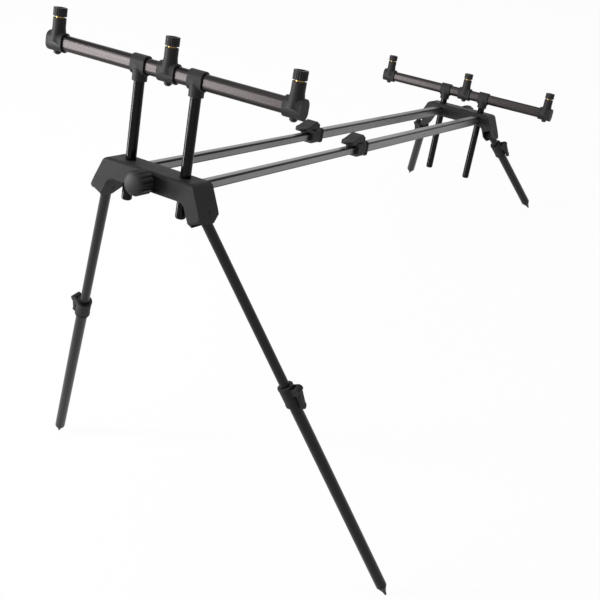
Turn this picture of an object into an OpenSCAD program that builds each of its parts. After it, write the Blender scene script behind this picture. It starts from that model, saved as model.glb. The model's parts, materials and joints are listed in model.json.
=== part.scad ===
// Rod pod for three rods: two clamping hubs, telescopic side tubes, two buzz bars and four telescopic legs.
// Pod axes before it is stood up: X towards the tall front end, Y across, Z up, side tubes at Z = 0.
// Each hub is drawn with +X pointing away from the middle of the pod. The rear end is a mirror copy.

/* [Frame] */
// Distance between the front and rear uprights
hub_spacing = 990; // [800:5:1080]
// Distance between the two uprights of one end
upright_spacing = 82; // [78:1:90]

/* [Hub] */
// Length of the hub along the pod
hub_depth = 40; // [38:1:48]
// Height of the hub's top face over the side tubes' axis
hub_top = 14; // [13:0.5:18]
// Depth of the hub's underside below the side tubes' axis
hub_under = 10; // [9.5:0.5:13]
// Splay of the arms and legs from the pod's mid plane, in degrees
arm_splay = 24.3; // [20:0.1:27]
// Thickness of an arm across its leg slot
arm_thickness = 18.4; // [18:0.2:22]
// Length of an arm below its leg pin
arm_foot = 12; // [11:0.5:14]
// Distance of the leg pin from the upright, across the pod
pin_out = 30.7; // [30:0.1:36]
// Depth of the leg pin below the side tubes' axis
pin_drop = 22.7; // [22:0.1:28]
// Diameter of the leg pin
pin_d = 6; // [4:0.5:7]
// Furthest outward swing of a leg, in degrees
leg_stop = 41.96; // [40:0.01:46]

/* [Knob] */
// Diameter of the clamp knob over its ribs
knob_d = 30; // [26:1:34]
// Length of the clamp knob
knob_length = 25; // [20:1:28]
// Number of finger ribs round the knob
knob_ribs = 14; // [10:1:18]
// Diameter of the clamp bolt
bolt_d = 8; // [6:1:8]

/* [Side tubes] */
// Width of the square inner tube
inner_tube_w = 12; // [11:0.5:12.5]
// Width of the square outer tube
outer_tube_w = 15; // [15:0.5:16]
// Wall of the side tubes
side_wall = 1.2; // [1:0.1:1.3]
// Distance of the clamp's front end from the front uprights
side_clamp_at = 430; // [380:5:480]
// Length of the inner tube that lies inside the outer tube
side_overlap = 200; // [150:5:220]
// Length of the side clamp's collar
side_clamp_length = 34; // [30:1:40]

/* [Buzz bars] */
// Distance between the two outer sockets
socket_span = 340; // [300:5:400]
// Height of the oval bar
bar_h = 19; // [18:0.5:20]
// Thickness of the oval bar
bar_t = 13; // [12:0.5:13.5]
// Wall of the oval bar
bar_wall = 1.3; // [1:0.1:2]
// Height of the front bar's axis over the side tubes' axis
front_bar_z = 127.4; // [60:0.2:135]
// Height of the rear bar's axis over the side tubes' axis
rear_bar_z = 42; // [40:0.2:130]
// Diameter of an upright
upright_d = 13; // [12:0.5:14]
// Wall of an upright
upright_wall = 1.5; // [1:0.1:2]
// Reach of an upright below the bar's axis
upright_reach = 164; // [160:1:200]

/* [Sockets] */
// Diameter of the socket's upper barrel
socket_d = 16; // [15:0.5:18]
// Height of the socket's barrel over the bar's axis
socket_top = 28; // [26:0.5:30]
// Height of the lock ring's top over the bar's axis
ring_top = 40; // [38:0.5:42]
// Height of the lock ring
ring_h = 10; // [8:0.5:11]
// Diameter of the lock ring over its ribs
ring_d = 16.6; // [15.5:0.2:18]
// Bore of the rod rest thread
thread_bore_d = 8.4; // [8:0.1:9]
// Outer diameter of the brass insert
insert_d = 11; // [10.5:0.5:12]

/* [Legs] */
// Inward lean of the front legs along the pod, in degrees
front_lean = 21.47; // [5:0.01:40]
// Length of a front leg from pin to tip
front_leg_length = 653.4; // [500:0.1:700]
// Length of a rear leg from pin to tip
rear_leg_length = 236.2; // [234:0.1:300]
// Distance from the pin to the top of a front leg's clamp
front_clamp_at = 257.4; // [180:0.1:265]
// Distance from the pin to the top of a rear leg's clamp
rear_clamp_at = 30; // [29:0.5:40]
// Diameter of the upper leg tube
upper_leg_d = 13; // [12:0.5:13.5]
// Diameter of the lower leg tube
lower_leg_d = 16; // [15.5:0.5:17]
// Wall of the lower leg tube
lower_leg_wall = 1.3; // [1:0.1:1.3]
// Length of a leg clamp
leg_clamp_length = 30; // [28:1:36]
// Length of the spiked foot below the lower tube
spike_length = 22; // [18:1:28]

/* [Levers] */
// Diameter of a cam lever's head
cam_d = 10; // [9:0.5:10]
// Width of a cam lever
lever_w = 8; // [6:0.5:9]
// Thickness of a cam lever's tail
lever_t = 4; // [3:0.5:5]
// Diameter of a cam lever's pin
lever_pin_d = 3; // [2.5:0.5:4]

/* [Clearances] */
// Running clearance of a pin or shaft, on the radius
running_gap = 0.08; // [0.05:0.01:0.1]
// Sliding clearance of telescopic tubes, on each side
sliding_gap = 0.2; // [0.15:0.05:0.3]
// Clearance between swinging pieces
swing_gap = 0.5; // [0.4:0.1:0.8]
// Gap left between pieces that are seated in each other
seat_gap = 0.05; // [0.02:0.01:0.1]

/* [Hidden] */
$fn = 48;

moulding_colour = "#2b2a2a";
tube_colour = "#4a4a4c";
gloss_colour = "#17181a";
steel_colour = "#8f9296";
brass_colour = "#b8923f";

eps = 0.01;
cut = 1;
half_spacing = upright_spacing / 2;
pin_y = half_spacing + pin_out;
hub_half = hub_depth / 2;
upright_r = upright_d / 2;
upper_r = upper_leg_d / 2;
lower_r = lower_leg_d / 2;
pin_r = pin_d / 2;

// Ball ends of the leg tips and the pitch that puts all four on the ground
tip_radius = 1.5;
rear_lean = leg_stop;
front_ball = front_leg_length - tip_radius;
rear_ball = rear_leg_length - tip_radius;
front_tip_x = -front_ball * sin(front_lean);
front_tip_z = -pin_drop - front_ball * cos(front_lean) * cos(arm_splay);
rear_tip_x = -hub_spacing - rear_ball * sin(rear_lean);
rear_tip_z = -pin_drop - rear_ball * cos(rear_lean) * cos(arm_splay);
pitch = atan2(rear_tip_z - front_tip_z, front_tip_x - rear_tip_x);
ground_z = front_tip_x * sin(pitch) + front_tip_z * cos(pitch);
knob_z = 1;
knob_gap = 1;
knob_front_x = hub_half + knob_gap + knob_length;
front_reach = knob_front_x * cos(pitch) - knob_z * sin(pitch);
rear_reach = rear_tip_x * cos(pitch) - rear_tip_z * sin(pitch);
centre_x = (front_reach + rear_reach) / 2;

// Leg slot and knuckle
knuckle_t = upper_leg_d + swing_gap;
slot_w = knuckle_t + 2 * swing_gap;
knuckle_r = 8;
slot_r = knuckle_r + swing_gap;

// Side tube seats stop short of the upright bores
upright_bore_r = upright_r + running_gap;
seat_web = 2.4;
tube_seat_x = -upright_bore_r - seat_web;
inner_tube_end = -side_clamp_at - side_overlap;

// Clamp bar cavity ahead of the uprights
bar_front_wall = 7;
plate_t = 5;
plate_h = 14;
plate_wrap = 2.5;
plate_x = upright_r + seat_gap - plate_wrap;
cavity_x1 = hub_half - bar_front_wall;

function arc(cx, cy, r, a0, a1, n = 8) =
    [for (i = [0 : n]) [cx + r * cos(a0 + (a1 - a0) * i / n), cy + r * sin(a0 + (a1 - a0) * i / n)]];
function flip(points) = [for (i = [len(points) - 1 : -1 : 0]) [-points[i][0], points[i][1]]];

// Places
module stand() {
    translate([-centre_x, 0, tip_radius - ground_z])
        rotate([0, -pitch, 0])
            children();
}

module rear_end() {
    translate([-hub_spacing, 0, 0])
        mirror([1, 0, 0])
            children();
}

module on_left() {
    mirror([0, 1, 0])
        children();
}

// Right arm of a hub: Y along the leg pin, Z up the arm, origin on the pin
module arm_place() {
    translate([0, pin_y, -pin_drop])
        rotate([arm_splay, 0, 0])
            children();
}

// A leg's own axes: it hangs down -Z from the pin, and leans outward by the given angle
module leg_place(lean) {
    arm_place()
        rotate([0, -lean, 0])
            children();
}

module along_x(x0, x1) {
    translate([x0, 0, 0])
        rotate([90, 0, 90])
            linear_extrude(x1 - x0)
                children();
}

module along_y(y0, y1) {
    translate([0, y1, 0])
        rotate([90, 0, 0])
            linear_extrude(y1 - y0)
                children();
}

module rounded_square(w, h, r) {
    square([w - 2 * r, h], center = true);
    square([w, h - 2 * r], center = true);
    for (sx = [-1, 1])
        for (sy = [-1, 1])
            translate([sx * (w / 2 - r), sy * (h / 2 - r)])
                circle(r);
}

// Disc with round finger grooves, each cut a little shallower than half its circle
module ribbed_disc(d, ribs, groove_r) {
    groove_out = 0.45;
    difference() {
        circle(d = d);
        for (i = [0 : ribs - 1])
            rotate(i * 360 / ribs)
                translate([d / 2 + groove_r * groove_out, 0])
                    circle(groove_r);
    }
}

// Hub moulding
hub_corner = 10;
hub_edge = 5;
hub_reach = 80;
arm_flare = 16.3;
arm_heel = 3;
arm_heel_x = -6;
arm_toe = 6;
arm_toe_x = 14;
arm_half = arm_thickness / 2;
shoulder_r = 9;
shoulder_z = hub_top - shoulder_r;
haunch_r = 10;
haunch_z = -hub_under - haunch_r;
panel_w = 46;
panel_h = 17;
panel_depth = 2;
panel_corner = 5;

// Place across the pod, at a height, of a line beside the arm's middle and parallel to it
function arm_line_y(off, z) = pin_y + (off - sin(arm_splay) * (z + pin_drop)) / cos(arm_splay);
// A point of the arm: outward from its middle, and up from the pin
function arm_point(off, rise) = [pin_y + off * cos(arm_splay) - rise * sin(arm_splay),
    -pin_drop + off * sin(arm_splay) + rise * cos(arm_splay)];

// Seen along the pod: flat body between the uprights, rounded shoulders, haunches into the arms
module hub_outline() {
    right = concat(
        arc(arm_line_y(arm_half - shoulder_r, shoulder_z), shoulder_z, shoulder_r, 90, arm_splay),
        [arm_point(arm_half, -arm_foot), arm_point(-arm_half, -arm_foot)],
        arc(arm_line_y(-arm_half - haunch_r, haunch_z), haunch_z, haunch_r, arm_splay, 90));
    polygon(concat(right, flip(right)));
}

module hub_plan() {
    rounded_square(hub_depth, 2 * (pin_y + arm_flare), hub_corner);
}

// Seen across the pod: soft upper edges
module hub_side() {
    translate([0, hub_top - hub_reach / 2])
        rounded_square(hub_depth, hub_reach, hub_edge);
}

// Corner of a side view, cut off along the line through two points
module corner_cut(a, b) {
    run = b - a;
    polygon([a - run, b + run, [(a - run)[0], (b + run)[1]]]);
}

// Heel and toe chamfers of an arm
module arm_chamfers() {
    arm_place()
        along_y(-arm_half - cut, arm_half + cut) {
            corner_cut([-hub_half, -arm_heel], [arm_heel_x, -arm_foot]);
            corner_cut([hub_half, -arm_toe], [arm_toe_x, -arm_foot]);
        }
}

// Wedge swept by a leg from folded flat to its outward stop
module leg_sweep() {
    sweep = 80;
    half = upper_r + swing_gap;
    stop_side = half * [cos(leg_stop), sin(leg_stop)];
    stop_end = stop_side + sweep * [sin(leg_stop), -cos(leg_stop)];
    cylinder(r = slot_r, h = slot_w, center = true);
    linear_extrude(slot_w, center = true)
        polygon([[-sweep, half], [0, half], stop_side, stop_end, [stop_end[0], -sweep], [-sweep, -sweep]]);
}

module leg_slot() {
    arm_place()
        rotate([90, 0, 0])
            leg_sweep();
}

module pin_bore() {
    arm_place()
        rotate([90, 0, 0])
            cylinder(r = pin_r + seat_gap, h = arm_thickness + 2 * cut, center = true);
}

module both_sides() {
    children();
    on_left()
        children();
}

module hub(tube_w) {
    difference() {
        intersection() {
            along_x(-hub_half, hub_half)
                hub_outline();
            translate([0, 0, -hub_reach])
                linear_extrude(hub_reach + hub_top)
                    hub_plan();
            along_y(-hub_reach - pin_y, hub_reach + pin_y)
                hub_side();
        }
        both_sides()
            arm_chamfers();
        both_sides()
            leg_slot();
        both_sides()
            pin_bore();
        both_sides()
            translate([0, half_spacing, -hub_under - cut])
                cylinder(r = upright_bore_r, h = hub_under + hub_top + 2 * cut);
        both_sides()
            translate([0, half_spacing, 0])
                along_x(-hub_half - cut, tube_seat_x)
                    rounded_square(tube_w + 2 * seat_gap, tube_w + 2 * seat_gap, tube_corner);
        // Cavity of the clamp bar, and the bolt's way in
        translate([plate_x, -half_spacing - upright_r - cut, knob_z - plate_h / 2 - swing_gap])
            cube([cavity_x1 - plate_x, upright_spacing + upright_d + 2 * cut, plate_h + 2 * swing_gap]);
        translate([0, 0, knob_z])
            rotate([0, 90, 0])
                cylinder(r = bolt_d / 2 + running_gap, h = hub_half + cut);
        // Recessed panel behind the knob
        translate([0, 0, knob_z])
            along_x(hub_half - panel_depth, hub_half + cut)
                rounded_square(panel_w, panel_h, panel_corner);
    }
}

module leg_pins() {
    color(steel_colour)
        both_sides()
            arm_place()
                rotate([90, 0, 0])
                    cylinder(r = pin_r, h = arm_thickness - 2 * swing_gap, center = true);
}

// Clamp knob: ribbed rim, domed face, and a plain boss against the hub
knob_base_x = hub_half - panel_depth;
boss_d = 16;
boss_h = 5;
knob_groove_r = 2.4;
knob_face = 6;

module knob() {
    color(moulding_colour)
        translate([0, 0, knob_z])
            rotate([0, 90, 0])
                difference() {
                    intersection() {
                        union() {
                            translate([0, 0, knob_base_x + boss_h - eps])
                                linear_extrude(knob_front_x - knob_base_x - boss_h + eps)
                                    ribbed_disc(knob_d, knob_ribs, knob_groove_r);
                            translate([0, 0, knob_base_x + seat_gap])
                                cylinder(d = boss_d, h = boss_h);
                        }
                        rotate_extrude()
                            knob_profile();
                    }
                    cylinder(r = bolt_d / 2 + seat_gap, h = knob_front_x - knob_face);
                }
}

module knob_profile() {
    dome_r = 42;
    edge_r = 4;
    edge_drop = 2;
    edge_turn = 70;
    steps = 6;
    rim = knob_d / 2;
    polygon(concat(
        [[0, 0], [rim, 0]],
        arc(rim - edge_r, knob_front_x - edge_r - edge_drop, edge_r, 0, edge_turn),
        [for (i = [steps : -1 : 0])
            let (r = (rim - edge_r) * i / steps)
                [r, knob_front_x - dome_r + sqrt(dome_r * dome_r - r * r)]]));
}

module knob_bolt() {
    color(steel_colour)
        translate([plate_x + seat_gap, 0, knob_z])
            rotate([0, 90, 0])
                cylinder(d = bolt_d, h = knob_front_x - knob_face - plate_x - 2 * seat_gap);
}

// Pressure bar that the knob draws against both uprights
module clamp_bar() {
    color(steel_colour)
        difference() {
            translate([plate_x + seat_gap, -half_spacing - upright_r, knob_z - plate_h / 2])
                cube([plate_t, upright_spacing + upright_d, plate_h]);
            both_sides()
                translate([0, half_spacing, -hub_under])
                    cylinder(r = upright_r + seat_gap, h = hub_under + hub_top);
            translate([0, 0, knob_z])
                rotate([0, 90, 0])
                    cylinder(r = bolt_d / 2 + running_gap, h = hub_half);
        }
}

// Square side tubes
tube_corner = 2.8;

module square_tube(x0, x1, w, wall) {
    along_x(x0, x1)
        difference() {
            rounded_square(w, w, tube_corner);
            rounded_square(w - 2 * wall, w - 2 * wall, tube_corner - wall / 2);
        }
}

module side_inner_tubes() {
    color(tube_colour)
        both_sides()
            translate([0, half_spacing, 0])
                square_tube(inner_tube_end, tube_seat_x - seat_gap, inner_tube_w, side_wall);
}

clamp_mouth = 10;
outer_front_x = -side_clamp_at - clamp_mouth;

module side_outer_tubes() {
    color(tube_colour)
        both_sides()
            translate([0, half_spacing, 0])
                square_tube(-hub_spacing - tube_seat_x + seat_gap, outer_front_x, outer_tube_w, side_wall);
}

// Collar of a side clamp with two ears for the cam lever
side_collar_w = outer_tube_w + 6;
side_corner = 4;
side_lip = 3;
side_lip_rise = 1;
side_lip_w = side_collar_w + 2 * side_lip_rise;
slide_w = inner_tube_w + 2 * sliding_gap;
long_bore = 40;
slant = 8;
side_lug_w = 7;
ear_t = 2.2;
side_pin_x = -side_clamp_at - side_clamp_length / 2;
side_pin_z = side_collar_w / 2 + cam_d / 2 + swing_gap;
ear_r = 5;

module ear_pair(x, z, foot) {
    for (s = [-1, 1])
        translate([x, s * (lever_w / 2 + swing_gap / 2 + ear_t / 2), 0])
            along_y(-ear_t / 2, ear_t / 2) {
                translate([0, z])
                    circle(ear_r);
                translate([-ear_r, foot])
                    square([2 * ear_r, z - foot]);
            }
}

module side_lug() {
    translate([side_pin_x, 0, 0])
        along_y(-side_lug_w / 2, side_lug_w / 2) {
            translate([0, side_pin_z])
                circle(ear_r);
            translate([-ear_r, 0])
                square([2 * ear_r, side_pin_z]);
        }
}

module side_clamp() {
    color(moulding_colour)
        translate([0, half_spacing, 0])
            difference() {
                union() {
                    along_x(-side_clamp_at - side_clamp_length, -side_clamp_at)
                        rounded_square(side_collar_w, side_collar_w, side_corner);
                    for (x = [-side_clamp_at - side_lip, -side_clamp_at - side_clamp_length])
                        along_x(x, x + side_lip)
                            rounded_square(side_lip_w, side_lip_w, side_corner);
                    side_lug();
                }
                along_x(outer_front_x - side_clamp_length, outer_front_x + seat_gap)
                    rounded_square(outer_tube_w + 2 * seat_gap, outer_tube_w + 2 * seat_gap, tube_corner);
                along_x(outer_front_x, -side_clamp_at + cut)
                    rounded_square(slide_w, slide_w, tube_corner);
                translate([side_pin_x, 0, side_pin_z])
                    rotate([90, 0, 0])
                        cylinder(r = lever_pin_d / 2 + running_gap, h = long_bore, center = true);
                // Slanted lower front edge
                translate([-side_clamp_at, 0, -side_collar_w / 2 - side_lip_rise])
                    rotate([0, 45, 0])
                        cube([slant, long_bore, slant], center = true);
            }
}

lever_flare = 1;
lever_fall = 1;

// Cam lever: head on the origin, tail along +X, pin along Y
module cam_lever() {
    tip_r = lever_w / 2 + lever_flare;
    tip_x = leg_lever_tail - tip_r;
    under = -cam_d / 2 + leg_lever_lift;
    difference() {
        union() {
            along_y(-lever_w / 2, lever_w / 2) {
                circle(d = cam_d);
                polygon([[0, under], [tip_x, under], [tip_x, under + lever_t],
                    [cam_d / 2, cam_d / 2 - lever_fall], [0, cam_d / 2]]);
            }
            translate([tip_x, 0, under])
                cylinder(r = tip_r, h = lever_t);
        }
        rotate([90, 0, 0])
            cylinder(r = lever_pin_d / 2 + seat_gap, h = lever_w + cut, center = true);
    }
    rotate([90, 0, 0])
        cylinder(d = lever_pin_d, h = lever_w + swing_gap + 2 * ear_t, center = true);
}

side_lever_tail = 46;
side_lever_w = 19;
side_lever_gap = 1.6;
side_fork_w = side_lug_w + 2 * swing_gap;
side_fork_r = ear_r + swing_gap;
hump_x = 4;
hump_h = 8;
hump_fall = 7;
brow_x = 12;
brow_h = 7;
nose_x = 30;
nose_h = 1.5;
nose_drop = 2.5;
chin_x = 19;
chin_run = 5;
tip_rise = 1;

// Side view of the side lever: round head, hump over the collar, nose that droops towards the tube
module side_lever_outline() {
    under = -cam_d / 2 + side_lever_gap;
    circle(d = cam_d);
    polygon([[0, under], [chin_x, under], [chin_x + chin_run, under - nose_drop],
        [side_lever_tail, under - nose_drop + tip_rise], [side_lever_tail, -tip_rise], [nose_x, nose_h],
        [brow_x, brow_h], [hump_x, hump_h], [-hump_x, hump_h - hump_fall]]);
}

// Seen from above: straight sides and a round nose
module side_lever_plan() {
    translate([-cam_d, -side_lever_w / 2])
        square([side_lever_tail + cam_d - side_lever_w / 2, side_lever_w]);
    translate([side_lever_tail - side_lever_w / 2, 0])
        circle(d = side_lever_w);
}

module side_lever() {
    color(moulding_colour)
        translate([side_pin_x, half_spacing, side_pin_z]) {
            difference() {
                intersection() {
                    along_y(-side_lever_w, side_lever_w)
                        side_lever_outline();
                    linear_extrude(4 * cam_d, center = true)
                        side_lever_plan();
                }
                along_y(-side_fork_w / 2, side_fork_w / 2) {
                    circle(side_fork_r);
                    translate([-side_fork_r, -2 * cam_d])
                        square([2 * side_fork_r, 2 * cam_d]);
                }
                rotate([90, 0, 0])
                    cylinder(r = lever_pin_d / 2 + seat_gap, h = long_bore, center = true);
            }
            rotate([90, 0, 0])
                cylinder(d = lever_pin_d, h = side_lever_w - 2 * swing_gap, center = true);
        }
}

oval_flat = 0.3;

// Oval bar and what it carries, drawn with the bar's axis on Z = 0
module bar_oval(grow) {
    rounded_square(bar_t + 2 * grow, bar_h + 2 * grow, bar_t / 2 + grow - oval_flat);
}

socket_reach = socket_span / 2;
bar_end = socket_reach + 4;

module buzz_bar() {
    color(tube_colour)
        along_y(-bar_end, bar_end)
            difference() {
                bar_oval(0);
                bar_oval(-bar_wall);
            }
}

socket_wall = 2.4;
socket_flare = 5;
socket_flare_h = bar_h / 2 + 7;
screw_boss_d = 9;
screw_boss_drop = 2;
socket_length = 24;
insert_foot = bar_h / 2 + 1;
insert_sink = 4;
insert_top = ring_top - insert_sink;

// Socket round the bar: sleeve, flared barrel and a screw boss below
module socket_body(y0, y1) {
    difference() {
        union() {
            along_y(y0, y1)
                bar_oval(socket_wall);
            cylinder(d = socket_d, h = socket_top);
            cylinder(d1 = socket_d + socket_flare, d2 = socket_d, h = socket_flare_h);
            translate([0, 0, -bar_h / 2 - socket_wall - screw_boss_drop])
                cylinder(d = screw_boss_d, h = bar_h / 2);
        }
        along_y(-socket_length, bar_end - socket_reach + seat_gap)
            bar_oval(seat_gap);
        translate([0, 0, insert_foot])
            cylinder(r = insert_d / 2 + seat_gap, h = socket_top);
    }
}

module end_sockets() {
    color(moulding_colour)
        both_sides()
            translate([0, socket_reach, 0])
                socket_body(-socket_length / 2, socket_length / 2);
}

module centre_socket() {
    color(moulding_colour)
        difference() {
            socket_body(-socket_length / 2, socket_length / 2);
            along_y(-socket_length, socket_length)
                bar_oval(seat_gap);
        }
}

module thread_inserts() {
    color(brass_colour)
        for (y = [-socket_reach, 0, socket_reach])
            translate([0, y, insert_foot + seat_gap])
                difference() {
                    cylinder(d = insert_d, h = insert_top - insert_foot);
                    translate([0, 0, -cut])
                        cylinder(d = thread_bore_d, h = insert_top - insert_foot + 2 * cut);
                }
}

ring_ribs = 18;
ring_groove_r = 0.9;
ring_roof = 3;
ring_relief = 1;

module lock_ring(y) {
    color(moulding_colour)
        translate([0, y, ring_top - ring_h])
            difference() {
                linear_extrude(ring_h)
                    ribbed_disc(ring_d, ring_ribs, ring_groove_r);
                translate([0, 0, -cut])
                    cylinder(r = insert_d / 2 + running_gap, h = ring_h - ring_roof + cut);
                cylinder(d = thread_bore_d + ring_relief, h = ring_h + cut);
            }
}

tee_w = 20;
tee_wall = 2.5;
tee_neck_d = upright_d + 2 * tee_wall;
tee_neck_h = 9;
tee_skirt_d = 19.5;
tee_skirt_h = 9;
tee_skirt_bottom = -bar_h / 2 - 4;
tee_neck_bottom = -bar_h / 2 - tee_neck_h;

module tee_collars() {
    color(moulding_colour)
        both_sides()
            translate([0, half_spacing, 0])
                difference() {
                    union() {
                        along_y(-tee_w / 2, tee_w / 2)
                            bar_oval(socket_wall);
                        translate([0, 0, tee_neck_bottom])
                            cylinder(d = tee_neck_d, h = -tee_neck_bottom);
                        translate([0, 0, tee_skirt_bottom])
                            cylinder(d1 = tee_neck_d, d2 = tee_skirt_d, h = tee_skirt_h);
                    }
                    along_y(-tee_w, tee_w)
                        bar_oval(seat_gap);
                    translate([0, 0, tee_neck_bottom - cut])
                        cylinder(r = upright_r + seat_gap, h = -tee_neck_bottom);
                }
}

upright_head_gap = 0.3;
upright_head = -bar_h / 2 - upright_head_gap;
cap_h = 8;
cap_r = 3;
cap_foot = cap_h / 2 - seat_gap;
cap_plug_r = upright_r - upright_wall - seat_gap;
cap_plug_top = cap_h * 2;

module uprights() {
    color(gloss_colour)
        both_sides()
            translate([0, half_spacing, -upright_reach + cap_h / 2])
                difference() {
                    cylinder(r = upright_r, h = upright_reach + upright_head - cap_h / 2);
                    translate([0, 0, -cut])
                        cylinder(r = upright_r - upright_wall, h = upright_reach);
                }
}

module upright_caps() {
    color(gloss_colour)
        both_sides()
            translate([0, half_spacing, -upright_reach])
                rotate_extrude()
                    polygon(concat(
                        [[0, 0]],
                        arc(upright_r - cap_r, cap_r, cap_r, -90, 0),
                        [[upright_r, cap_foot], [cap_plug_r, cap_foot], [cap_plug_r, cap_plug_top],
                            [0, cap_plug_top]]));
}

// Legs: each module is drawn hanging from the pin, with +Y on the outer side
knuckle_plug = 26;
knuckle_neck = knuckle_r + 3;
upper_leg_wall = 1.2;

module knuckle() {
    color(moulding_colour)
        difference() {
            union() {
                rotate([90, 0, 0])
                    cylinder(r = knuckle_r, h = knuckle_t, center = true);
                translate([0, 0, -knuckle_neck])
                    cylinder(r = upper_r, h = knuckle_neck);
                translate([0, 0, -knuckle_plug])
                    cylinder(r = upper_r - upper_leg_wall - seat_gap, h = knuckle_plug);
            }
            rotate([90, 0, 0])
                cylinder(r = pin_r + running_gap, h = knuckle_t + 2 * cut, center = true);
        }
}

upper_top = knuckle_neck + seat_gap;

module upper_tube(reach) {
    color(tube_colour)
        translate([0, 0, -reach])
            difference() {
                cylinder(r = upper_r, h = reach - upper_top);
                translate([0, 0, -cut])
                    cylinder(r = upper_r - upper_leg_wall, h = reach);
            }
}

leg_collar_wall = 2.4;
leg_collar_r = lower_r + leg_collar_wall;
lip_h = 3;
lip_rise = 0.4;
mouth = 5;
leg_pin_y = leg_collar_r + cam_d / 2 + swing_gap;
leg_pin_drop = 8;
ear_root = 0.6;
leg_lever_lift = 0.6;
leg_lever_tail = 30;

// Clamp collar: two lips, a split ear pair for the cam lever, a bore for each tube
module leg_clamp(top) {
    color(moulding_colour)
        translate([0, 0, -top])
            difference() {
                union() {
                    translate([0, 0, -leg_clamp_length])
                        cylinder(r = leg_collar_r, h = leg_clamp_length);
                    for (z = [-lip_h, -leg_clamp_length])
                        translate([0, 0, z])
                            cylinder(r = leg_collar_r + lip_rise, h = lip_h);
                    rotate([0, 0, 90])
                        rotate([0, 90, 0])
                            ear_block();
                }
                translate([0, 0, -leg_clamp_length - cut])
                    cylinder(r = lower_r + seat_gap, h = leg_clamp_length + cut - mouth);
                translate([0, 0, -mouth - cut])
                    cylinder(r = upper_r + sliding_gap, h = mouth + 2 * cut);
                translate([0, leg_pin_y, -leg_pin_drop])
                    rotate([0, 90, 0])
                        cylinder(r = lever_pin_d / 2 + running_gap, h = long_bore, center = true);
            }
}

// Ears beside the lever's head, seen along the collar: X down the leg, Z away from it
module ear_block() {
    ear_pair(leg_pin_drop, leg_pin_y, lower_r + ear_root);
}

module leg_lever(top) {
    color(moulding_colour)
        translate([0, leg_pin_y, -top - leg_pin_drop])
            rotate([0, 0, 90])
                rotate([0, 90, 0])
                    cam_lever();
}

module lower_tube(top, length) {
    tube_top = -top - mouth - seat_gap;
    tube_foot = -length + spike_length;
    color(tube_colour)
        translate([0, 0, tube_foot])
            difference() {
                cylinder(r = lower_r, h = tube_top - tube_foot);
                translate([0, 0, -cut])
                    cylinder(r = lower_r - lower_leg_wall, h = length);
            }
}

spike_plug = 14;

// Two-stage spiked foot: a cone off the tube, then a slim point
module spike(length) {
    shoulder = spike_length - seat_gap;
    neck_r = 3.2;
    neck_top = spike_length * 0.42;
    cone_foot = spike_length * 0.5;
    rim_h = 2;
    rim_chamfer = 1;
    plug_r = lower_r - lower_leg_wall - seat_gap;
    color(gloss_colour)
        translate([0, 0, -length])
            rotate_extrude()
                polygon(concat(
                    arc(0, tip_radius, tip_radius, -90, -10, 4),
                    [[neck_r, neck_top], [neck_r + rim_chamfer, cone_foot],
                        [lower_r - rim_chamfer, shoulder - rim_h - rim_chamfer], [lower_r, shoulder - rim_h],
                        [lower_r, shoulder], [plug_r, shoulder],
                        [plug_r, shoulder + spike_plug], [0, shoulder + spike_plug]]));
}

leg_overlap = 105;
plug_margin = 6;
upper_reach_front = front_clamp_at + leg_overlap;
upper_reach_rear = rear_leg_length - spike_length - spike_plug - plug_margin;

module front_hub() {
    color(moulding_colour)
        hub(inner_tube_w);
}

module rear_hub() {
    color(moulding_colour)
        hub(outer_tube_w);
}

module front_lower_tube() {
    lower_tube(front_clamp_at, front_leg_length);
}

module rear_lower_tube() {
    lower_tube(rear_clamp_at, rear_leg_length);
}

module at_front_bar() {
    translate([0, 0, front_bar_z])
        children();
}

module at_rear_bar() {
    rear_end()
        translate([0, 0, rear_bar_z])
            children();
}

module front_left() {
    on_left()
        leg_place(-front_lean)
            children();
}

module front_right() {
    leg_place(-front_lean)
        children();
}

module rear_left() {
    rear_end()
        on_left()
            leg_place(rear_lean)
                children();
}

module rear_right() {
    rear_end()
        leg_place(rear_lean)
            children();
}

stand() front_hub();
stand() leg_pins();  // front_leg_pins
stand() knob();  // front_knob
stand() knob_bolt();  // front_knob_bolt
stand() clamp_bar();  // front_clamp_bar
stand() rear_end() rear_hub();
stand() rear_end() leg_pins();  // rear_leg_pins
stand() rear_end() knob();  // rear_knob
stand() rear_end() knob_bolt();  // rear_knob_bolt
stand() rear_end() clamp_bar();  // rear_clamp_bar
stand() side_inner_tubes();
stand() side_outer_tubes();
stand() on_left() side_clamp();  // left_side_clamp
stand() side_clamp();  // right_side_clamp
stand() on_left() side_lever();  // left_side_lever
stand() side_lever();  // right_side_lever
stand() at_front_bar() buzz_bar();  // front_buzz_bar
stand() at_front_bar() uprights();  // front_uprights
stand() at_front_bar() upright_caps();  // front_upright_caps
stand() at_front_bar() tee_collars();  // front_tee_collars
stand() at_front_bar() end_sockets();  // front_end_sockets
stand() at_front_bar() centre_socket();  // front_centre_socket
stand() at_front_bar() thread_inserts();  // front_thread_inserts
stand() at_front_bar() lock_ring(-socket_reach);  // front_left_ring
stand() at_front_bar() lock_ring(0);  // front_centre_ring
stand() at_front_bar() lock_ring(socket_reach);  // front_right_ring
stand() at_rear_bar() buzz_bar();  // rear_buzz_bar
stand() at_rear_bar() uprights();  // rear_uprights
stand() at_rear_bar() upright_caps();  // rear_upright_caps
stand() at_rear_bar() tee_collars();  // rear_tee_collars
stand() at_rear_bar() end_sockets();  // rear_end_sockets
stand() at_rear_bar() centre_socket();  // rear_centre_socket
stand() at_rear_bar() thread_inserts();  // rear_thread_inserts
stand() at_rear_bar() lock_ring(-socket_reach);  // rear_left_ring
stand() at_rear_bar() lock_ring(0);  // rear_centre_ring
stand() at_rear_bar() lock_ring(socket_reach);  // rear_right_ring
stand() front_left() knuckle();  // front_left_knuckle
stand() front_left() upper_tube(upper_reach_front);  // front_left_upper_tube
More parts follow.
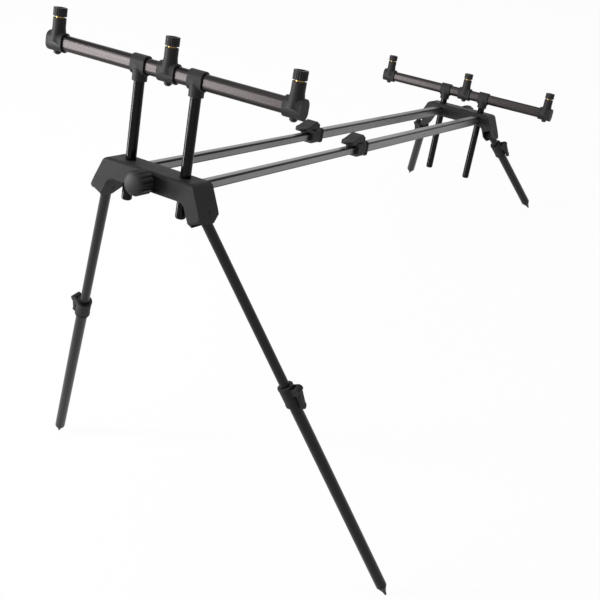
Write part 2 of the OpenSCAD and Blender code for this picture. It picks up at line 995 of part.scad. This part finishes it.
stand() front_left() leg_clamp(front_clamp_at);  // front_left_leg_clamp
stand() front_left() leg_lever(front_clamp_at);  // front_left_lever
stand() front_left() front_lower_tube();  // front_left_lower_tube
stand() front_left() spike(front_leg_length);  // front_left_spike
stand() front_right() knuckle();  // front_right_knuckle
stand() front_right() upper_tube(upper_reach_front);  // front_right_upper_tube
stand() front_right() leg_clamp(front_clamp_at);  // front_right_leg_clamp
stand() front_right() leg_lever(front_clamp_at);  // front_right_lever
stand() front_right() front_lower_tube();  // front_right_lower_tube
stand() front_right() spike(front_leg_length);  // front_right_spike
stand() rear_left() knuckle();  // rear_left_knuckle
stand() rear_left() upper_tube(upper_reach_rear);  // rear_left_upper_tube
stand() rear_left() leg_clamp(rear_clamp_at);  // rear_left_leg_clamp
stand() rear_left() leg_lever(rear_clamp_at);  // rear_left_lever
stand() rear_left() rear_lower_tube();  // rear_left_lower_tube
stand() rear_left() spike(rear_leg_length);  // rear_left_spike
stand() rear_right() knuckle();  // rear_right_knuckle
stand() rear_right() upper_tube(upper_reach_rear);  // rear_right_upper_tube
stand() rear_right() leg_clamp(rear_clamp_at);  // rear_right_leg_clamp
stand() rear_right() leg_lever(rear_clamp_at);  // rear_right_lever
stand() rear_right() rear_lower_tube();  // rear_right_lower_tube
stand() rear_right() spike(rear_leg_length);  // rear_right_spike
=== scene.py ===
"""Rod pod: finishes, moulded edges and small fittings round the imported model."""
import functools
import json
import math

import bmesh
import bpy
import numpy as np
from mathutils import Matrix, Vector

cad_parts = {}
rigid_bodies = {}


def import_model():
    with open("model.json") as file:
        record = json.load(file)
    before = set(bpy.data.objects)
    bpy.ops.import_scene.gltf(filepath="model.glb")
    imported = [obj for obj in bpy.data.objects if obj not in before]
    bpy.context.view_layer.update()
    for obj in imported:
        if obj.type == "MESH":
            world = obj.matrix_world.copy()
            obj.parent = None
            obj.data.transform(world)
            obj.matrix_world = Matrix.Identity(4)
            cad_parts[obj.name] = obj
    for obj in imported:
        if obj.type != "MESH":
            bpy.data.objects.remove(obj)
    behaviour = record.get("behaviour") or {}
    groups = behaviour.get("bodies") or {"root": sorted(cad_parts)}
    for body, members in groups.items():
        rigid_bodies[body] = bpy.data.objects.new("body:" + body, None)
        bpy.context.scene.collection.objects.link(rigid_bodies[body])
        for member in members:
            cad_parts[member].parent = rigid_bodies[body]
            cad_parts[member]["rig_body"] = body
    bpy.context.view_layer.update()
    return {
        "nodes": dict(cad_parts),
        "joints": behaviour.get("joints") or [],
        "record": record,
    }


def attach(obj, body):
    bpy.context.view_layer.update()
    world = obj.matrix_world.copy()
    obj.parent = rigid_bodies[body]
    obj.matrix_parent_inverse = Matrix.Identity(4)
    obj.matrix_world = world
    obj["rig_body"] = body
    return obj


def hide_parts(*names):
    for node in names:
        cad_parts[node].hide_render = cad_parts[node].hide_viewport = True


bl_info = {
    "name": "Rod pod",
    "version": (1, 0, 0),
    "blender": (4, 5, 0),
    "location": "View3D > Sidebar > Rod pod",
    "description": "Dresses a rod pod: moulded hubs, anodised tubes, brass threads and a pale stage",
    "category": "Object",
}

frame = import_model()
NODES = frame["nodes"]
JOINTS = {joint["name"]: joint for joint in frame["joints"]}

# The words that the names of nodes, joints and bodies are made of
ENDS = ("front", "rear")
SIDES = ("left", "right")
LEGS = [f"{end}_{side}" for end in ENDS for side in SIDES]
RINGS = [f"{end}_{place}_ring" for end in ENDS for place in ("left", "centre", "right")]

# The pod's own axes as they stand on the ground
POD_X = -Vector(JOINTS["length_slide"]["axis"])
POD_Z = Vector(JOINTS["front_bar_lift"]["axis"])
POD_Y = POD_Z.cross(POD_X)

# The picture's width in pixels, and how far the floor and the camera's view reach in metres
PHOTO_PIXELS = 600
FLOOR_REACH = 30.0
VIEW_REACH = 100.0
WHITE = (1.0, 1.0, 1.0, 1.0)

# Each lamp's name, power value, place, width and height; all of them face the pod's middle
LAMP_TARGET = Vector((0.05, 0.0, 0.4))
LAMPS = (
    ("Key lamp", "key_watts", (1.6, -2.0, 1.1), 0.3, 1.7),
    ("Panel lamp", "panel_watts", (3.4, -2.5, 1.6), 1.2, 1.2),
    ("Top lamp", "top_watts", (-0.3, -0.2, 2.6), 2.0, 2.0),
    ("Fill lamp", "fill_watts", (2.4, 1.2, 1.5), 1.8, 1.8),
)

# The part of its 0 to 1 range in which nearly all of a noise lies
NOISE_RANGE = (0.3, 0.7)

# How dark the blackened pins and screws are, as shares of the steel's colour
PIN_SHADE = 0.08
SCREW_SHADE = 0.25

# Corners closer than the distance are one, faces that differ by less than the flat angle are
# one flat, and edges sharper than the edge angle are rounded
MERGE_DISTANCE = 2e-6
FLAT_ANGLE = math.radians(0.6)
EDGE_ANGLE = math.radians(32.0)

# Steps round a screw head and over its dome, round a thread, and along one pitch of it
SCREW_STEPS = 32
DOME_STEPS = 7
THREAD_STEPS = 48
PITCH_STEPS = 10

# A screw's socket hole: its radius as a share of the head's, and its foot's as a share of its own
HOLE_RADIUS = 0.45
HOLE_FOOT = 0.96
# Heights of the hole's floor, the hole's rim and the dome's lower edge as shares of the head's
HOLE_FLOOR = 0.3
HOLE_RIM = 0.9
DOME_EDGE = 0.35


class PodFinish(bpy.types.PropertyGroup):
    """Colours and surface values of the pod's finishes"""
    moulding_colour: bpy.props.FloatVectorProperty(
        name="Moulding", description="Matt black of the moulded pieces", subtype="COLOR",
        size=4, default=(0.021, 0.0198, 0.0196, 1.0))
    moulding_roughness: bpy.props.FloatProperty(
        name="Moulding roughness", description="Roughness of the moulded pieces", subtype="FACTOR",
        default=0.56, min=0.0, max=1.0)
    bar_colour: bpy.props.FloatVectorProperty(
        name="Buzz bar", description="Satin gunmetal of the oval bars", subtype="COLOR",
        size=4, default=(0.044, 0.039, 0.039, 1.0))
    side_colour: bpy.props.FloatVectorProperty(
        name="Side tubes", description="Satin grey of the square side tubes", subtype="COLOR",
        size=4, default=(0.20, 0.196, 0.198, 1.0))
    leg_colour: bpy.props.FloatVectorProperty(
        name="Leg tubes", description="Dark gunmetal of the legs", subtype="COLOR",
        size=4, default=(0.014, 0.013, 0.0127, 1.0))
    gloss_colour: bpy.props.FloatVectorProperty(
        name="Uprights", description="Gloss black of the uprights", subtype="COLOR",
        size=4, default=(0.004, 0.004, 0.0045, 1.0))
    brass_colour: bpy.props.FloatVectorProperty(
        name="Brass", description="Turned brass of the thread inserts", subtype="COLOR",
        size=4, default=(0.19, 0.125, 0.048, 1.0))
    steel_colour: bpy.props.FloatVectorProperty(
        name="Steel", description="Plated steel of the bolts; pins and screws are darker shades of it",
        subtype="COLOR", size=4, default=(0.30, 0.30, 0.31, 1.0))


class PodEdges(bpy.types.PropertyGroup):
    """Edge radii of the moulded pieces"""
    hub_radius: bpy.props.FloatProperty(
        name="Hub edge", description="Edge radius of the hubs", default=0.0024, unit="LENGTH")
    clamp_radius: bpy.props.FloatProperty(
        name="Clamp edge", description="Edge radius of clamps and levers", default=0.0009,
        unit="LENGTH")
    socket_radius: bpy.props.FloatProperty(
        name="Socket edge", description="Edge radius of sockets and collars", default=0.0011,
        unit="LENGTH")
    rib_radius: bpy.props.FloatProperty(
        name="Rib edge", description="Edge radius of ribbed knobs, rings and spikes", default=0.0004,
        unit="LENGTH")


class PodFittings(bpy.types.PropertyGroup):
    """Sizes of the screws and threads"""
    screw_radius: bpy.props.FloatProperty(
        name="Screw radius", description="Radius of a clamp screw's head", default=0.0034,
        unit="LENGTH")
    screw_height: bpy.props.FloatProperty(
        name="Screw height", description="Height of a clamp screw's head", default=0.0017,
        unit="LENGTH")
    screw_drop: bpy.props.FloatProperty(
        name="Screw drop", description="Depth of the screw's seat below the thread's centre",
        default=0.0379, unit="LENGTH")
    thread_radius: bpy.props.FloatProperty(
        name="Thread radius", description="Radius at the thread's roots", default=0.00418,
        unit="LENGTH")
    thread_depth: bpy.props.FloatProperty(
        name="Thread depth", description="Depth of the thread", default=0.0007, unit="LENGTH")
    thread_pitch: bpy.props.FloatProperty(
        name="Thread pitch", description="Pitch of the thread", default=0.00127, unit="LENGTH")
    thread_length: bpy.props.FloatProperty(
        name="Thread length", description="Length of the thread", default=0.0252, unit="LENGTH")
    thread_drop: bpy.props.FloatProperty(
        name="Thread drop", description="Depth of the thread's foot below its centre",
        default=0.0133, unit="LENGTH")


class PodStage(bpy.types.PropertyGroup):
    """Camera, floor and lamps"""
    camera_place: bpy.props.FloatVectorProperty(
        name="Camera", description="Place of the camera", subtype="TRANSLATION", unit="LENGTH",
        default=(1.17998, 0.67740, 1.27776))
    camera_view: bpy.props.FloatVectorProperty(
        name="View", description="Direction that the camera looks in", subtype="DIRECTION",
        default=(-0.61958, -0.42019, -0.66299))
    camera_up: bpy.props.FloatVectorProperty(
        name="Up", description="Direction of the picture's upper edge", subtype="DIRECTION",
        default=(-0.58211, -0.32061, 0.74723))
    focal_pixels: bpy.props.FloatProperty(
        name="Focal length", description="Focal length in pixels of the photograph", default=974.6)
    floor_colour: bpy.props.FloatVectorProperty(
        name="Floor", description="Pale floor", subtype="COLOR", size=4,
        default=(0.8, 0.8, 0.8, 1.0))
    floor_glow: bpy.props.FloatProperty(
        name="Floor glow", description="Share of plain white in the floor that the camera sees",
        subtype="FACTOR", default=0.95, min=0.0, max=1.0)
    world_light: bpy.props.FloatProperty(
        name="World light", description="Strength of the even light from all around", default=0.24)
    key_watts: bpy.props.FloatProperty(
        name="Key lamp", description="Power of the strip lamp at the left", default=75.0,
        unit="POWER")
    panel_watts: bpy.props.FloatProperty(
        name="Panel lamp", description="Power of the soft panel at the front left", default=70.0,
        unit="POWER")
    top_watts: bpy.props.FloatProperty(
        name="Top lamp", description="Power of the overhead lamp", default=25.0, unit="POWER")
    fill_watts: bpy.props.FloatProperty(
        name="Fill lamp", description="Power of the lamp behind the camera", default=1.2,
        unit="POWER")


# Materials
class Nodes:
    """The node tree of a material or world with its main shader, and short calls to add to it"""

    def __init__(self, owner, shader):
        owner.use_nodes = True
        self.owner = owner
        self.tree = owner.node_tree
        self.shader = self.tree.nodes[shader]

    def add(self, kind, inputs=None, **values):
        """A new node with its own values and its plain inputs set"""
        node = self.tree.nodes.new(kind)
        for key, value in values.items():
            setattr(node, key, value)
        for key, value in (inputs or {}).items():
            node.inputs[key].default_value = value
        return node

    def link(self, source, target):
        self.tree.links.new(source, target)

    def set(self, **values):
        """Plain values on the shader's own sockets"""
        for key, value in values.items():
            self.shader.inputs[key.replace("_", " ")].default_value = value

    def maths(self, operation, *values):
        """A Math node's result for values that are node outputs or plain numbers"""
        node = self.add("ShaderNodeMath", operation=operation)
        for socket, value in zip(node.inputs, values):
            if isinstance(value, bpy.types.NodeSocket):
                self.link(value, socket)
            else:
                socket.default_value = value
        return node.outputs["Value"]

    def largest(self, values):
        """The largest of several node outputs"""
        return functools.reduce(functools.partial(self.maths, "MAXIMUM"), values)

    def object_place(self, along=None, stretch=1.0):
        """Object coordinates, turned so that X runs along a direction and scaled by stretch there"""
        place = self.add("ShaderNodeTexCoord").outputs["Object"]
        if along is None:
            return place
        turn = Vector((1, 0, 0)).rotation_difference(Vector(along)).inverted().to_euler()
        mapping = self.add("ShaderNodeMapping", {"Rotation": turn})
        scaled = self.add("ShaderNodeVectorMath", {1: (stretch, 1.0, 1.0)}, operation="MULTIPLY")
        self.link(place, mapping.inputs["Vector"])
        self.link(mapping.outputs["Vector"], scaled.inputs[0])
        return scaled.outputs["Vector"]

    def noise(self, place, scale, detail):
        node = self.add("ShaderNodeTexNoise", {"Scale": scale, "Detail": detail})
        self.link(place, node.inputs["Vector"])
        return node.outputs["Fac"]

    def spread(self, value, low, high, within=NOISE_RANGE):
        """The part of a value's range that lies within two bounds, spread between low and high"""
        start, stop = within
        node = self.add("ShaderNodeMapRange",
                        {"From Min": start, "From Max": stop, "To Min": low, "To Max": high},
                        interpolation_type="SMOOTHSTEP")
        self.link(value, node.inputs["Value"])
        return node.outputs["Result"]

    def flatness(self, axes):
        """How nearly the surface faces along one of the axes: 1 on the flats, less on the corners"""
        normal = self.add("ShaderNodeTexCoord").outputs["Normal"]
        sizes = []
        for axis in axes:
            dot = self.add("ShaderNodeVectorMath", {1: axis}, operation="DOT_PRODUCT")
            self.link(normal, dot.inputs[0])
            sizes.append(self.maths("ABSOLUTE", dot.outputs["Value"]))
        return self.largest(sizes)

    def tint(self, value, colour, low, high):
        """Base colour between the low and the high share of a colour, by a noise"""
        ramp = self.add("ShaderNodeValToRGB")
        for element, position, share in zip(ramp.color_ramp.elements, NOISE_RANGE, (low, high)):
            element.position = position
            element.color = (*(min(1.0, c * share) for c in colour[:3]), 1.0)
        self.link(value, ramp.inputs["Fac"])
        self.link(ramp.outputs["Color"], self.shader.inputs["Base Color"])

    def roughen(self, value, low, high):
        """Roughness between low and high, by a noise"""
        self.link(self.spread(value, low, high), self.shader.inputs["Roughness"])

    def bump(self, height, strength, distance):
        node = self.add("ShaderNodeBump", {"Strength": strength, "Distance": distance})
        self.link(height, node.inputs["Height"])
        self.link(node.outputs["Normal"], self.shader.inputs["Normal"])

    def seen_ray(self):
        """1 for rays that show the background: straight from the camera, mirrored or through glass"""
        path = self.add("ShaderNodeLightPath")
        kinds = ("Is Camera Ray", "Is Glossy Ray", "Is Transmission Ray")
        return self.largest([path.outputs[kind] for kind in kinds])

    def show_white(self, kind, share, output):
        """Plain white from a shader of a kind, mixed in by a share before the tree's output"""
        white = self.add(kind, {"Color": WHITE, "Strength": 1.0})
        mix = self.add("ShaderNodeMixShader")
        self.link(share, mix.inputs["Fac"])
        self.link(self.shader.outputs[0], mix.inputs[1])
        self.link(white.outputs[0], mix.inputs[2])
        self.link(mix.outputs["Shader"], self.tree.nodes[output].inputs["Surface"])


def material_nodes(name):
    return Nodes(bpy.data.materials.new(name), "Principled BSDF")


def moulded_plastic(name, colour, roughness):
    """Spark-eroded nylon: fine grain, faint cloudy colour, slightly uneven sheen"""
    n = material_nodes(name)
    place = n.object_place()
    cloud = n.noise(place, scale=38.0, detail=4.0)
    n.tint(cloud, colour, low=0.82, high=1.2)
    n.roughen(cloud, low=roughness - 0.05, high=roughness + 0.07)
    n.bump(n.noise(place, scale=2600.0, detail=2.0), strength=0.22, distance=0.0002)
    n.set(Specular_IOR_Level=0.12)
    return n.owner


def pod_moulding(name, finish, smoother=0.0):
    """The pod's black plastic, with its roughness lowered by smoother"""
    return moulded_plastic(name, finish.moulding_colour, finish.moulding_roughness - smoother)


def anodised_tube(name, colour, along, roughness, metallic, flats=(), corner_shade_share=None, facing=None):
    """Anodised aluminium with draw lines along the tube

    Where flats names the axes that flat faces face along, the colour falls to its corner share
    as the flatness goes from the upper to the lower of the two facing values: painted shade on
    the rounded corners, with the flats painted lighter.
    """
    n = material_nodes(name)
    lines = n.noise(n.object_place(along, stretch=0.012), scale=1400.0, detail=2.0)
    slow = n.noise(n.object_place(along, stretch=0.25), scale=22.0, detail=3.0)
    if flats:
        # Painted shade: the colour falls from the flats to the corner share on the rounded corners and
        # edges
        painted_corner_shade = n.spread(n.flatness(flats), corner_shade_share, 1.0, within=facing)
        share = n.maths("MULTIPLY", painted_corner_shade, n.spread(slow, low=0.86, high=1.0))
        shade = n.add("ShaderNodeVectorMath", {0: colour[:3]}, operation="SCALE")
        n.link(share, shade.inputs["Scale"])
        n.link(shade.outputs["Vector"], n.shader.inputs["Base Color"])
    else:
        n.tint(slow, colour, low=0.86, high=1.16)
    n.roughen(lines, low=roughness - 0.03, high=roughness + 0.03)
    n.bump(lines, strength=0.004, distance=0.0001)
    n.set(Metallic=metallic, Specular_IOR_Level=0.2)
    return n.owner


def gloss_black(name, colour):
    """Hard gloss black with very fine handling marks"""
    n = material_nodes(name)
    marks = n.noise(n.object_place(POD_Z, stretch=0.05), scale=900.0, detail=3.0)
    n.tint(marks, colour, low=0.8, high=1.25)
    n.roughen(marks, low=0.10, high=0.11)
    n.set(Specular_IOR_Level=0.11)
    return n.owner


def turned_metal(name, colour, roughness, shade=1.0):
    """Lathe-turned metal in a shade of a colour, with fine rings along its axis"""
    n = material_nodes(name)
    rings = n.noise(n.object_place(POD_Z, stretch=40.0), scale=60.0, detail=2.0)
    n.tint(rings, [shade * part for part in colour], low=0.85, high=1.12)
    n.roughen(rings, low=roughness - 0.07, high=roughness + 0.08)
    n.bump(rings, strength=0.12, distance=0.0001)
    n.set(Metallic=1.0)
    return n.owner


def dress(piece, material):
    """Gives a new piece its material"""
    piece.data.materials.clear()
    piece.data.materials.append(material)


def dress_cad(names, material):
    """Gives CAD nodes a material in their own slots"""
    for name in names:
        for held in NODES[name].material_slots:
            held.material = material


# Meshes
def in_scene(name, data):
    """A new object at the origin, linked to the scene"""
    made = bpy.data.objects.new(name, data)
    bpy.context.scene.collection.objects.link(made)
    return made


def rounded_copy(node, radius, material, segments=3):
    """The node's own solid with merged corners and rounded edges, standing for the node"""
    name = node + "_moulding"
    mesh = NODES[node].data.copy()
    mesh.name = name
    work = bmesh.new()
    work.from_mesh(mesh)
    bmesh.ops.remove_doubles(work, verts=work.verts, dist=MERGE_DISTANCE)
    bmesh.ops.dissolve_limit(work, angle_limit=FLAT_ANGLE, verts=work.verts, edges=work.edges)
    work.to_mesh(mesh)
    work.free()
    if "custom_normal" in mesh.attributes:
        mesh.attributes.remove(mesh.attributes["custom_normal"])
    mesh.shade_smooth()
    piece = in_scene(name, mesh)
    bevel = piece.modifiers.new("Edge radius", "BEVEL")
    bevel.width = radius
    bevel.segments = segments
    bevel.limit_method = "ANGLE"
    bevel.angle_limit = EDGE_ANGLE
    bevel.harden_normals = True
    bevel.use_clamp_overlap = True
    dress(piece, material)
    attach(piece, NODES[node]["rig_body"])
    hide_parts(node)


def grid_mesh(name, points):
    """A smooth mesh on a grid of points, columns by rows, whose last column joins the first"""
    columns, rows = points.shape[:2]
    column, row = np.meshgrid(np.arange(columns), np.arange(rows - 1), indexing="ij")
    after = (column + 1) % columns
    faces = np.stack([column * rows + row, column * rows + row + 1,
                      after * rows + row + 1, after * rows + row], -1)
    mesh = bpy.data.meshes.new(name)
    mesh.from_pydata(points.reshape(-1, 3).tolist(), [], faces.reshape(-1, 4).tolist())
    mesh.shade_smooth()
    return mesh


def round_angles(steps):
    """A column of the angles of even steps once round, without the last, which is the first again"""
    return np.linspace(0.0, math.tau, steps, endpoint=False)[:, None]


def round_directions(angle, side, other):
    """Directions at angles from one side towards another: cosine by side plus sine by other"""
    return np.cos(angle)[..., None] * np.array(side) + np.sin(angle)[..., None] * np.array(other)


def revolved(name, profile, centre, axis):
    """A surface of revolution: radius and height pairs carried round an axis through a centre"""
    axis = axis.normalized()
    side = axis.orthogonal().normalized()
    radius, height = np.array(profile).T[..., None]
    ring = round_directions(round_angles(SCREW_STEPS), side, axis.cross(side))
    mesh = grid_mesh(name, np.array(centre) + radius * ring + height * np.array(axis))
    work = bmesh.new()
    work.from_mesh(mesh)
    bmesh.ops.remove_doubles(work, verts=work.verts, dist=MERGE_DISTANCE)
    bmesh.ops.recalc_face_normals(work, faces=work.faces)
    work.to_mesh(mesh)
    work.free()
    return in_scene(name, mesh)


def thread_surface(name, foot, sizes):
    """A screw thread inside a bore: angle by height, the radius waving once per pitch of the helix"""
    rows = int(sizes.thread_length / sizes.thread_pitch * PITCH_STEPS)
    height = np.linspace(0.0, sizes.thread_length, rows)
    angle = round_angles(THREAD_STEPS)
    phase = height / sizes.thread_pitch - angle / math.tau
    ridge = np.abs((phase % 1.0) * 2.0 - 1.0)
    radius = sizes.thread_radius - sizes.thread_depth * ridge
    points = (np.array(foot) + radius[..., None] * round_directions(angle, POD_X, POD_Y)
              + height[:, None] * np.array(POD_Z))
    return in_scene(name, grid_mesh(name, points))


class ROD_POD_OT_stage(bpy.types.Operator):
    """Pale floor, soft lamps and the camera"""
    bl_idname = "rod_pod.stage"
    bl_label = "Stage"

    def execute(self, context):
        values = context.scene.pod_stage
        context.scene.view_settings.view_transform = "Standard"
        context.scene.camera = self.camera(values)
        self.floor(values)
        context.scene.world = self.world(values)
        for name, watts, place, width, height in LAMPS:
            self.lamp(name, place, getattr(values, watts), width, height)
        return {"FINISHED"}

    def camera(self, values):
        data = bpy.data.cameras.new("Camera")
        data.sensor_fit = "HORIZONTAL"
        data.lens = data.sensor_width * values.focal_pixels / PHOTO_PIXELS
        data.clip_end = VIEW_REACH
        view = Vector(values.camera_view).normalized()
        right = view.cross(Vector(values.camera_up)).normalized()
        turn = Matrix((right, right.cross(view), -view)).transposed()
        camera = in_scene("Camera", data)
        camera.matrix_world = Matrix.Translation(values.camera_place) @ turn.to_4x4()
        return camera

    def floor(self, values):
        """A flat square that keeps the pod's shadow and shows mostly white"""
        mesh = bpy.data.meshes.new("Floor")
        signs = ((-1, -1), (1, -1), (1, 1), (-1, 1))
        corners = [(FLOOR_REACH * x, FLOOR_REACH * y, 0.0) for x, y in signs]
        mesh.from_pydata(corners, [], [(0, 1, 2, 3)])
        n = material_nodes("Pale floor")
        n.set(Base_Color=values.floor_colour, Roughness=0.9, Specular_IOR_Level=0.0)
        share = n.maths("MULTIPLY", n.seen_ray(), values.floor_glow)
        n.show_white("ShaderNodeEmission", share, "Material Output")
        floor = in_scene("Floor", mesh)
        dress(floor, n.owner)

    def world(self, values):
        """Even light from all around, shown as plain white"""
        n = Nodes(bpy.data.worlds.new("Studio"), "Background")
        n.set(Color=WHITE, Strength=values.world_light)
        n.show_white("ShaderNodeBackground", n.seen_ray(), "World Output")
        return n.owner

    def lamp(self, name, place, watts, width, height):
        data = bpy.data.lights.new(name, "AREA")
        data.shape = "RECTANGLE"
        data.size = width
        data.size_y = height
        data.energy = watts
        aim = (LAMP_TARGET - Vector(place)).to_track_quat("-Z", "Y")
        lamp = in_scene(name, data)
        lamp.matrix_world = Matrix.Translation(place) @ aim.to_matrix().to_4x4()


class ROD_POD_OT_hubs(bpy.types.Operator):
    """The two hub mouldings, with their knobs and the bolts and pins in them"""
    bl_idname = "rod_pod.hubs"
    bl_label = "Hubs"

    def execute(self, context):
        finish, edges = context.scene.pod_finish, context.scene.pod_edges
        plastic = pod_moulding("Hub moulding", finish)
        knob_plastic = pod_moulding("Knob moulding", finish, smoother=0.08)
        steel = turned_metal("Plated steel", finish.steel_colour, roughness=0.34)
        pin_steel = turned_metal("Blackened pin", finish.steel_colour, roughness=0.5, shade=PIN_SHADE)
        for end in ENDS:
            rounded_copy(end + "_hub", edges.hub_radius, plastic, segments=4)
            rounded_copy(end + "_knob", edges.rib_radius, knob_plastic)
            dress_cad([end + "_leg_pins"], pin_steel)
            dress_cad([end + "_knob_bolt", end + "_clamp_bar"], steel)
        return {"FINISHED"}


class ROD_POD_OT_bars(bpy.types.Operator):
    """Buzz bars with their uprights, collars, sockets, brass threads and lock rings"""
    bl_idname = "rod_pod.bars"
    bl_label = "Buzz bars"

    def execute(self, context):
        finish, edges = context.scene.pod_finish, context.scene.pod_edges
        plastic = pod_moulding("Socket moulding", finish, smoother=0.04)
        ring_plastic = pod_moulding("Lock ring moulding", finish, smoother=0.1)
        # Painted shade: the bar's rounded top and bottom fall to a quarter of its colour, leaving the
        # front flat lighter
        gunmetal = anodised_tube("Gunmetal bar", finish.bar_colour, POD_Y, roughness=0.3, metallic=0.9,
                                 flats=(POD_X,), corner_shade_share=0.25, facing=(0.6, 0.98))
        gloss = gloss_black("Gloss upright", finish.gloss_colour)
        brass = turned_metal("Turned brass", finish.brass_colour, roughness=0.28)
        for end in ENDS:
            dress_cad([end + "_buzz_bar"], gunmetal)
            dress_cad([end + "_uprights", end + "_upright_caps"], gloss)
            dress_cad([end + "_thread_inserts"], brass)
            for part in ("tee_collars", "end_sockets", "centre_socket"):
                rounded_copy(f"{end}_{part}", edges.socket_radius, plastic)
        for ring in RINGS:
            rounded_copy(ring, edges.rib_radius, ring_plastic, segments=2)
        return {"FINISHED"}


class ROD_POD_OT_side_tubes(bpy.types.Operator):
    """Square side tubes with their clamps and cam levers"""
    bl_idname = "rod_pod.side_tubes"
    bl_label = "Side tubes"

    def execute(self, context):
        finish, edges = context.scene.pod_finish, context.scene.pod_edges
        plastic = pod_moulding("Side clamp moulding", finish)
        # Painted shade: the side tubes' rounded corners fall nearly to black as dark corner lines
        # beside the lighter flats
        grey = anodised_tube("Grey side tube", finish.side_colour, POD_X, roughness=0.34, metallic=0.8,
                             flats=(POD_Y, POD_Z), corner_shade_share=0.015, facing=(0.975, 0.9998))
        dress_cad(["side_inner_tubes", "side_outer_tubes"], grey)
        for side in SIDES:
            for part in ("clamp", "lever"):
                rounded_copy(f"{side}_side_{part}", edges.clamp_radius, plastic)
        return {"FINISHED"}


class ROD_POD_OT_legs(bpy.types.Operator):
    """Telescopic legs with their knuckles, clamps, cam levers and spiked feet"""
    bl_idname = "rod_pod.legs"
    bl_label = "Legs"

    def execute(self, context):
        finish, edges = context.scene.pod_finish, context.scene.pod_edges
        plastic = pod_moulding("Leg clamp moulding", finish)
        hard = moulded_plastic("Spike plastic", finish.leg_colour, roughness=0.42)
        for leg in LEGS:
            along = Vector(JOINTS[leg + "_leg_slide"]["axis"])
            tube = anodised_tube(f"Gunmetal leg {leg}", finish.leg_colour, along,
                                 roughness=0.34, metallic=0.3)
            dress_cad([leg + "_upper_tube", leg + "_lower_tube"], tube)
            dress_cad([leg + "_knuckle"], plastic)
            for part in ("leg_clamp", "lever"):
                rounded_copy(f"{leg}_{part}", edges.clamp_radius, plastic)
            rounded_copy(leg + "_spike", edges.rib_radius, hard)
        return {"FINISHED"}


class ROD_POD_OT_fittings(bpy.types.Operator):
    """Clamp screws below the sockets and threads inside the brass inserts"""
    bl_idname = "rod_pod.fittings"
    bl_label = "Fittings"

    def execute(self, context):
        finish, sizes = context.scene.pod_finish, context.scene.pod_fittings
        screw_steel = turned_metal("Blackened screw", finish.steel_colour, roughness=0.38,
                                   shade=SCREW_SHADE)
        brass = turned_metal("Thread brass", finish.brass_colour, roughness=0.3)
        for mount in frame["record"]["mounts"]:
            end, place = mount["name"].split("_")[:2]
            centre = Vector(mount["pos_m"])
            screw = revolved(f"{end}_{place}_clamp_screw", self.screw_profile(sizes),
                             centre - POD_Z * sizes.screw_drop, -POD_Z)
            dress(screw, screw_steel)
            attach(screw, end + "_bar")
            thread = thread_surface(f"{end}_{place}_thread", centre - POD_Z * sizes.thread_drop, sizes)
            dress(thread, brass)
            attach(thread, end + "_bar")
        return {"FINISHED"}

    def screw_profile(self, sizes):
        """Radius and height from the socket hole's floor, up its wall and over the dome to the seat"""
        head, high = sizes.screw_radius, sizes.screw_height
        hole, edge = head * HOLE_RADIUS, high * DOME_EDGE
        turn = np.linspace(0.0, math.pi / 2, DOME_STEPS)
        dome = np.stack([hole + (head - hole) * np.sin(turn), edge + (high - edge) * np.cos(turn)], -1)
        return [(0.0, high * HOLE_FLOOR), (hole * HOLE_FOOT, high * HOLE_FLOOR),
                (hole, high * HOLE_RIM), *dome.tolist(), (head, 0.0)]


class ROD_POD_PT_panel(bpy.types.Panel):
    """Sidebar panel with the pod's operators and values"""
    bl_idname = "ROD_POD_PT_panel"
    bl_label = "Rod pod"
    bl_space_type = "VIEW_3D"
    bl_region_type = "UI"
    bl_category = "Rod pod"

    def draw(self, context):
        for operator in OPERATORS:
            self.layout.operator(operator.bl_idname)
        for name, group in GROUPS.items():
            box = self.layout.box()
            for value in group.__annotations__:
                box.prop(getattr(context.scene, name), value)


OPERATORS = (ROD_POD_OT_stage, ROD_POD_OT_hubs, ROD_POD_OT_bars, ROD_POD_OT_side_tubes,
             ROD_POD_OT_legs, ROD_POD_OT_fittings)
GROUPS = {"pod_finish": PodFinish, "pod_edges": PodEdges, "pod_fittings": PodFittings,
          "pod_stage": PodStage}
CLASSES = (*GROUPS.values(), *OPERATORS, ROD_POD_PT_panel)


def register():
    for made in CLASSES:
        bpy.utils.register_class(made)
    for name, group in GROUPS.items():
        setattr(bpy.types.Scene, name, bpy.props.PointerProperty(type=group))


def unregister():
    for name in GROUPS:
        delattr(bpy.types.Scene, name)
    for made in reversed(CLASSES):
        bpy.utils.unregister_class(made)


def main():
    register()
    bpy.ops.rod_pod.stage()
    bpy.ops.rod_pod.hubs()
    bpy.ops.rod_pod.bars()
    bpy.ops.rod_pod.side_tubes()
    bpy.ops.rod_pod.legs()
    bpy.ops.rod_pod.fittings()
    bpy.context.view_layer.update()


if __name__ == "__main__":
    main()
